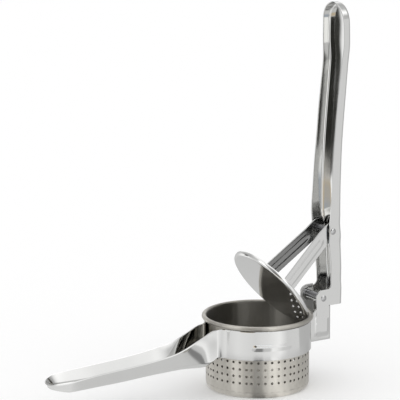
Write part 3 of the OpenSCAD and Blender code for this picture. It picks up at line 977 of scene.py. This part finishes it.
class PRESS_OT_pins(bpy.types.Operator):
    """Makes the two rivets and the spacer tubes on them"""

    bl_idname = "press.pins"
    bl_label = "Rivets and spacers"

    def pin(self, name, profile, x, z, body, node, material):
        piece = turned(name, profile, lambda a, b, h: (x + a, h, z + b), 48)
        close_solid(piece)
        smooth(piece, 40)
        finish_piece(piece, material, "pin_steel", body, node)

    def rivet(self, name, half, *place):
        dome = (HEAD_R**2 + HEAD_H**2) / (2 * HEAD_H)
        edge = math.degrees(math.asin(HEAD_R / dome))
        head = [(dome * sine(a), half + HEAD_H - dome + dome * cosine(a))
                for a in span(0, edge, 10)]
        profile = head + [(HEAD_R - 0.05, half), (RIVET_R, half)]
        profile += [(r, -h) for r, h in reversed(profile)]
        self.pin(name, profile, *place)

    def spacer(self, name, half, *place):
        bore = RIVET_R + BORE_PLAY
        profile = [(bore, -half), (SPACER_R - TUBE_EDGE, -half), (SPACER_R, -half + TUBE_EDGE),
                   (SPACER_R, half - TUBE_EDGE), (SPACER_R - TUBE_EDGE, half), (bore, half), (bore, -half)]
        self.pin(name, profile, *place)

    def execute(self, context):
        bright = polished_steel("bright_pin", (0.5, 0.5, 0.5), 0.1, 0.2)
        # The spacer tubes sit inside the hinges: their dark colour is painted shade, their roughness a dull
        # finish
        dull_and_shaded = polished_steel("dull_tube", (0.26, 0.26, 0.27), 0.2, 0.3)
        lever_sheet = in_mm("press_sheets", "lever_sheet")
        strap_sheet = in_mm("press_sheets", "strap_sheet")
        self.rivet("hinge_rivet_round", ARM_HALF, HINGE_X, HINGE_Z, "frame", "hinge_rivet", bright)
        self.rivet("presser_rivet_round", KNEE_HALF, PRESS_X, PRESS_Z, "lever", "presser_rivet", bright)
        self.spacer("hinge_tube", EAR_HALF - lever_sheet - SIDE_PLAY, HINGE_X, HINGE_Z, "frame",
                    "hinge_spacer", dull_and_shaded)
        self.spacer("presser_tube", STRAP_TOP - strap_sheet - SIDE_PLAY, PRESS_X, PRESS_Z, "lever",
                    "presser_spacer", dull_and_shaded)
        return {"FINISHED"}


# Camera of the photograph, in degrees, millimetres and pixels, with x to its right

VIEW_TURN = 33.3
VIEW_ELEVATION = 13.13
VIEW_DISTANCE = 3000
VIEW_ASIDE = -47.2
VIEW_UP = 156.0
FOCAL_PIXELS = 3686.4
FRAME_PIXELS = 400
SENSOR = 36

# What the steel mirrors of the table and of the studio's screens: for each direction round the
# object, in degrees from the camera's side and growing to its right, a brightness
FLOOR_TONES = ((-180, 0.53), (-165, 0.62), (-150, 0.74), (-140, 0.8), (-126, 1.2), (-108, 1.2), (-98, 0.88),
               (-75, 0.88), (-39, 1.05), (-5, 0.93), (20, 1.05), (43, 1.22), (60, 0.86), (90, 0.88),
               (92, 0.64), (158, 0.53), (180, 0.53))
SCREEN_TONES = ((-180, 1.2), (-165, 1.1), (-145, 0.6), (-111, 0.34), (-74, 0.9), (-66, 1.9), (-46, 1.9),
                (-34, 0.42), (8, 0.34), (19, 0.6), (25, 2.0), (36, 1.9), (48, 0.75), (90, 0.62), (120, 0.42),
                (150, 0.45), (165, 1.1), (180, 1.2))
# Near tones: painted light and shade on the floor by the object, and the camera's painted shadow at -5 to 7
# degrees
NEAR_TONES = ((-180, 0.8), (-120, 0.6), (-90, 0.8), (-30, 0.84), (-10, 0.76), (-5, 0.3), (7, 0.3), (11, 0.75),
              (22, 0.8), (27, 1.25), (34, 1.2), (48, 0.85), (90, 0.7), (120, 0.55), (180, 0.7))
HIGH_TONES = ((-180, 0.9), (-120, 0.6), (-72, 0.8), (-64, 1.7), (-46, 1.7), (-34, 0.4), (10, 0.35), (19, 0.7),
              (26, 1.9), (36, 1.8), (48, 1.5), (60, 1.7), (90, 1.7), (112, 0.7), (150, 0.6), (180, 0.9))
OVERHEAD = 1.3

# How high a mirror ray goes where the tones change: from the floor's, to the high ones, to the one overhead
LOW_TO = (0.24, 0.16)
HIGH_FROM = (0.42, 0.6)
TOP_FROM = (0.75, 0.92)

# Where the near tones of the floor end, in metres, and the share of the floor's tones that needs no light
TABLE_NEAR = (0.158, 0.178)
TABLE_EVEN = 0.75

# Patches of the table and of the room behind the camera: middle and half width in degrees,
# the distances over which they come in and go out, in metres, and their colour
PATCHES = (
    ((-21, 14), (0.38, 0.44), (0.72, 0.85), (0.95, 0.8, 0.58)),
    ((-21, 14), (0.86, 0.92), None, (0.04, 0.04, 0.035)),
    ((-109.5, 3.4), (0.92, 1.02), None, (0.05, 0.05, 0.045)),
    ((11, 17), (0.38, 0.44), (0.75, 0.85), (0.66, 0.72, 0.8)),
    ((11, 17), (0.75, 0.85), (6, 7), (1.7, 1.7, 1.68)),
)

# The brightness that the white of a ramp stands for, and the border of a patch as a share of the whole turn
TONE_SCALE = 2
SOFT_BORDER = 0.01

# Finish, size and depth of the floor, and how far the camera sees, in metres
FLOOR_ROUGHNESS = 0.8
FLOOR_SIZE = 12
FLOOR_DEPTH = 0.0002
SIGHT = 20


def dial(degrees):
    """A direction round the object as a share of the whole turn."""
    return degrees / 360 + 0.5


class PRESS_OT_stage(bpy.types.Operator):
    """Sets the pale floor, the light and the camera"""

    bl_idname = "press.stage"
    bl_label = "Stage"

    def execute(self, context):
        self.camera(context)
        self.floor(context)
        self.lights(context)
        return {"FINISHED"}

    def camera(self, context):
        turn = Matrix.Rotation(-math.radians(VIEW_TURN), 3, "Z")
        level, drop = cosine(VIEW_ELEVATION), sine(VIEW_ELEVATION)
        ahead = Vector((0, level, -drop))
        place = Vector((VIEW_ASIDE, -VIEW_DISTANCE * level, VIEW_UP + VIEW_DISTANCE * drop))
        bpy.ops.object.camera_add(location=(turn @ place) * MM)
        camera = context.object
        camera.name = "photo_camera"
        camera.rotation_mode = "QUATERNION"
        camera.rotation_quaternion = (turn @ ahead).to_track_quat("-Z", "Y")
        camera.data.sensor_width = SENSOR
        camera.data.lens = FOCAL_PIXELS / FRAME_PIXELS * SENSOR
        camera.data.clip_end = SIGHT
        context.scene.camera = camera

    def floor(self, context):
        deselect_all()
        bpy.ops.mesh.primitive_plane_add(size=FLOOR_SIZE, location=(0, 0, -FLOOR_DEPTH))
        floor = context.object
        floor.name = "floor"
        material, tree, shader, place = new_material("pale_floor", 0)
        link = tree.links.new
        shader.inputs["Base Color"].default_value = plain(chosen_colour("backdrop"))
        shader.inputs["Roughness"].default_value = FLOOR_ROUGHNESS
        shader.inputs["Specular IOR Level"].default_value = 0
        far_tones, angle = self.tones_round(tree, place, FLOOR_TONES)
        near_tones, _ = self.tones_round(tree, place, NEAR_TONES)
        reach = add_node(tree, "ShaderNodeVectorMath", operation="LENGTH")
        link(place, reach.inputs[0])
        reach = reach.outputs["Value"]
        # Close to the object the floor's mirrored tones are the near ones, with their painted shade and
        # shadow
        tones = mixed(tree, map_range(tree, reach, *TABLE_NEAR), near_tones, far_tones)
        tones = self.patched(tree, tones, angle, reach)
        lit = add_node(tree, "ShaderNodeBsdfDiffuse")
        even = add_node(tree, "ShaderNodeEmission", Strength=1)
        for light in (lit, even):
            link(tones, light.inputs["Color"])
        mirrored = add_node(tree, "ShaderNodeMixShader")
        fill(tree, mirrored.inputs, (TABLE_EVEN, lit.outputs["BSDF"], even.outputs["Emission"]))
        glossy = add_node(tree, "ShaderNodeLightPath").outputs["Is Glossy Ray"]
        chosen = add_node(tree, "ShaderNodeMixShader")
        fill(tree, chosen.inputs, (glossy, shader.outputs["BSDF"], mirrored.outputs["Shader"]))
        link(chosen.outputs["Shader"], tree.nodes["Material Output"].inputs["Surface"])
        floor.data.materials.append(material)

    def tones_round(self, tree, place, tones):
        """Brightness by direction round the object, from a list of tones, and that direction from 0 to 1."""
        split = add_node(tree, "ShaderNodeSeparateXYZ")
        tree.links.new(place, split.inputs["Vector"])
        turn = maths(tree, "ARCTAN2", split.outputs["Y"], split.outputs["X"])
        turn = maths(tree, "MULTIPLY_ADD", turn, 1 / (2 * math.pi), dial(90 + VIEW_TURN))
        angle = maths(tree, "FRACT", turn)
        ramp = add_node(tree, "ShaderNodeValToRGB")
        stops = ramp.color_ramp.elements
        while len(stops) < len(tones):
            stops.new(1)
        for stop, (azimuth, bright) in zip(stops, tones):
            stop.position = dial(azimuth)
            stop.color = plain([bright / TONE_SCALE] * 3)
        tree.links.new(angle, ramp.inputs["Fac"])
        return scaled(tree, ramp.outputs["Color"], TONE_SCALE), angle

    def sector(self, tree, angle, middle, half):
        """1 inside a sector round the object and 0 outside it, with a narrow soft border."""
        away = maths(tree, "ABSOLUTE", maths(tree, "SUBTRACT", angle, dial(middle)))
        return map_range(tree, away, half / 360 + SOFT_BORDER, half / 360)

    def patched(self, tree, tones, angle, reach=None):
        """The tones with the patches on them: all on the floor, and beyond its end those that go on."""
        for (middle, half), start, end, tone in PATCHES:
            here = self.sector(tree, angle, middle, half)
            if reach:
                here = maths(tree, "MULTIPLY", here, map_range(tree, reach, *start))
            if reach and end:
                here = maths(tree, "MULTIPLY", here, map_range(tree, reach, *reversed(end)))
            if reach or not end:
                tones = mixed(tree, here, tones, [*tone, 1])
        return tones

    def lights(self, context):
        world = context.scene.world or bpy.data.worlds.new("studio")
        context.scene.world = world
        world.use_nodes = True
        tree = world.node_tree
        tree.nodes.clear()
        output = add_node(tree, "ShaderNodeOutputWorld")
        background = add_node(tree, "ShaderNodeBackground", Strength=1)
        place = add_node(tree, "ShaderNodeTexCoord").outputs["Generated"]
        split = add_node(tree, "ShaderNodeSeparateXYZ")
        tree.links.new(place, split.inputs["Vector"])
        height = split.outputs["Z"]
        low, high, top = (map_range(tree, height, *band) for band in (LOW_TO, HIGH_FROM, TOP_FROM))
        tones, _ = self.tones_round(tree, place, SCREEN_TONES)
        high_tones, _ = self.tones_round(tree, place, HIGH_TONES)
        low_tones, angle = self.tones_round(tree, place, FLOOR_TONES)
        screens = mixed(tree, low, tones, self.patched(tree, low_tones, angle))
        screens = mixed(tree, high, screens, high_tones)
        screens = mixed(tree, top, screens, [OVERHEAD] * 3 + [1])
        glossy = add_node(tree, "ShaderNodeLightPath").outputs["Is Glossy Ray"]
        tree.links.new(mixed(tree, glossy, plain((1, 1, 1)), screens), background.inputs["Color"])
        tree.links.new(background.outputs["Background"], output.inputs["Surface"])
        context.scene.view_settings.view_transform = "Standard"


class PRESS_PT_panel(bpy.types.Panel):
    """Buttons that make the press piece by piece"""

    bl_idname = "PRESS_PT_panel"
    bl_label = "Lever potato press"
    bl_space_type = "VIEW_3D"
    bl_region_type = "UI"
    bl_category = "Press"

    def draw(self, context):
        layout = self.layout
        for group in ("press_sheets", "press_basket", "press_finish"):
            box = layout.box()
            values = getattr(context.scene, group)
            for name in values.__annotations__:
                box.prop(values, name)
        for operator in STEPS:
            layout.operator(operator.bl_idname)


GROUPS = {"press_sheets": PressSheetSizes, "press_basket": PressBasketSizes, "press_finish": PressFinish}
STEPS = (PRESS_OT_frame, PRESS_OT_basket, PRESS_OT_lever, PRESS_OT_presser, PRESS_OT_pins, PRESS_OT_stage)


def register():
    for name, group in GROUPS.items():
        bpy.utils.register_class(group)
        setattr(bpy.types.Scene, name, bpy.props.PointerProperty(type=group))
    for step in STEPS:
        bpy.utils.register_class(step)
    bpy.utils.register_class(PRESS_PT_panel)


def unregister():
    bpy.utils.unregister_class(PRESS_PT_panel)
    for step in reversed(STEPS):
        bpy.utils.unregister_class(step)
    for name, group in GROUPS.items():
        delattr(bpy.types.Scene, name)
        bpy.utils.unregister_class(group)


def main():
    register()
    bpy.ops.press.frame()
    bpy.ops.press.basket()
    bpy.ops.press.lever()
    bpy.ops.press.presser()
    bpy.ops.press.pins()
    bpy.ops.press.stage()


if __name__ == "__main__":
    main()
